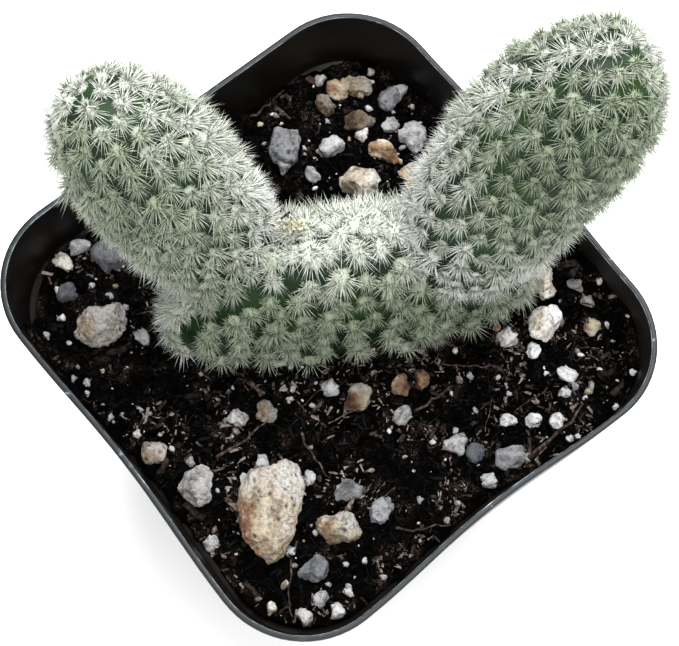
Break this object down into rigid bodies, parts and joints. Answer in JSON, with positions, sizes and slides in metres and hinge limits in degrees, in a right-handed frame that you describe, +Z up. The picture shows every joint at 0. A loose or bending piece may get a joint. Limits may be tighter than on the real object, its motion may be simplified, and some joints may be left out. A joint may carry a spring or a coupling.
{
  "type": "potted bunny ears cactus",
  "caption": "Bunny ears cactus, one upright flat pad with two ear pads covered in pale bristle tufts, in soil with perlite in a square nursery pot.",
  "frame": {"origin": "middle of the underside of the pot's base", "axes": "+Z up, +X along the upright pad's width towards the larger ear, -Y the front that the larger stone lies at"},
  "size_m": [0.08, 0.0804, 0.0982],
  "materials": {
    "pot_plastic": "soft black moulded polypropylene, faint sheen, pale scuffs on the rim",
    "soil": "damp peat and bark fibre, near black, matte",
    "root": "dry brown root, matte",
    "cactus": "dark green waxy skin under pale cream-white bristle tufts, matte",
    "perlite_white": "puffed volcanic glass, white, matte and pitted",
    "perlite_cream": "puffed volcanic glass stained cream by the soil, matte and pitted",
    "perlite_tan": "puffed volcanic glass stained tan by the soil, matte and pitted",
    "perlite_grey": "puffed volcanic glass, cool grey where damp, matte and pitted"
  },
  "bodies": {
    "root": {"pot": "pot_plastic", "soil": "soil", "roots": "root", "mother_pad": "cactus", "left_ear_pad": "cactus", "right_ear_pad": "cactus", "perlite_01": "perlite_cream", "perlite_02": "perlite_cream", "perlite_03": "perlite_grey", "perlite_04": "perlite_grey", "perlite_05": "perlite_grey", "perlite_06": "perlite_cream", "perlite_07": "perlite_grey", "perlite_08": "perlite_grey", "perlite_09": "perlite_cream", "perlite_10": "perlite_grey", "perlite_11": "perlite_cream", "perlite_12": "perlite_cream", "perlite_13": "perlite_white", "perlite_14": "perlite_cream", "perlite_15": "perlite_grey", "perlite_16": "perlite_white", "perlite_17": "perlite_grey", "perlite_18": "perlite_cream", "perlite_19": "perlite_tan", "perlite_20": "perlite_tan", "perlite_21": "perlite_grey", "perlite_22": "perlite_white", "perlite_23": "perlite_tan", "perlite_24": "perlite_tan", "perlite_25": "perlite_cream", "perlite_26": "perlite_white"}
  },
  "joints": []
}
